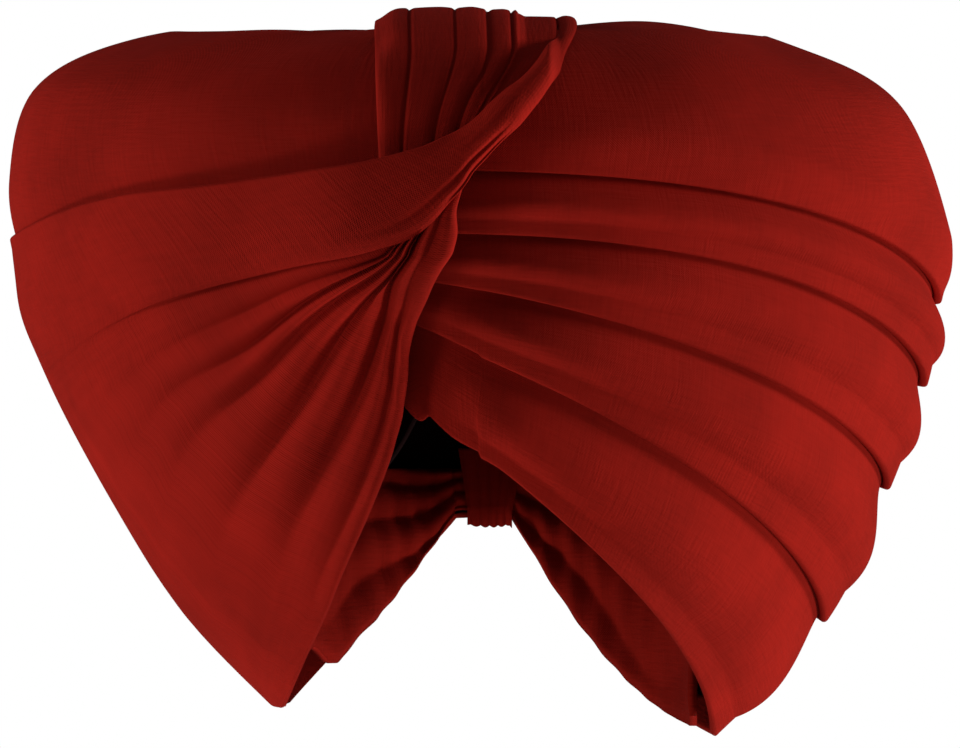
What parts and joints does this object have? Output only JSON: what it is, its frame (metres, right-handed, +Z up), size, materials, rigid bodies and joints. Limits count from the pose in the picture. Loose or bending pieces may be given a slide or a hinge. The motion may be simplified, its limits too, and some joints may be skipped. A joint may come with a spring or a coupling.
{
  "type": "pagri turban",
  "caption": "Wound cloth pagri turban with lapped slanting turns, a pleated crown strip and a folded drape that crosses the brow and fans over one side.",
  "frame": {"origin": "the seat: the point inside the inner layer where the top of the head touches", "axes": "+Z up along the head, front towards -Y, the wearer's left towards +X"},
  "size_m": [0.3017, 0.2813, 0.2302],
  "materials": {
    "red_cotton": "matte cotton",
    "inner_cotton": "matte cotton"
  },
  "bodies": {
    "root": {"inner_layer": "inner_cotton", "crown_disc": "red_cotton", "upper_wrap": "red_cotton", "lower_wrap_2": "red_cotton", "lower_wrap_3": "red_cotton", "lower_wrap_4": "red_cotton", "lower_wrap_5": "red_cotton", "crown_pleats": "red_cotton", "front_drape": "red_cotton", "nape_wrap": "red_cotton", "nape_tuck": "red_cotton"}
  },
  "joints": []
}
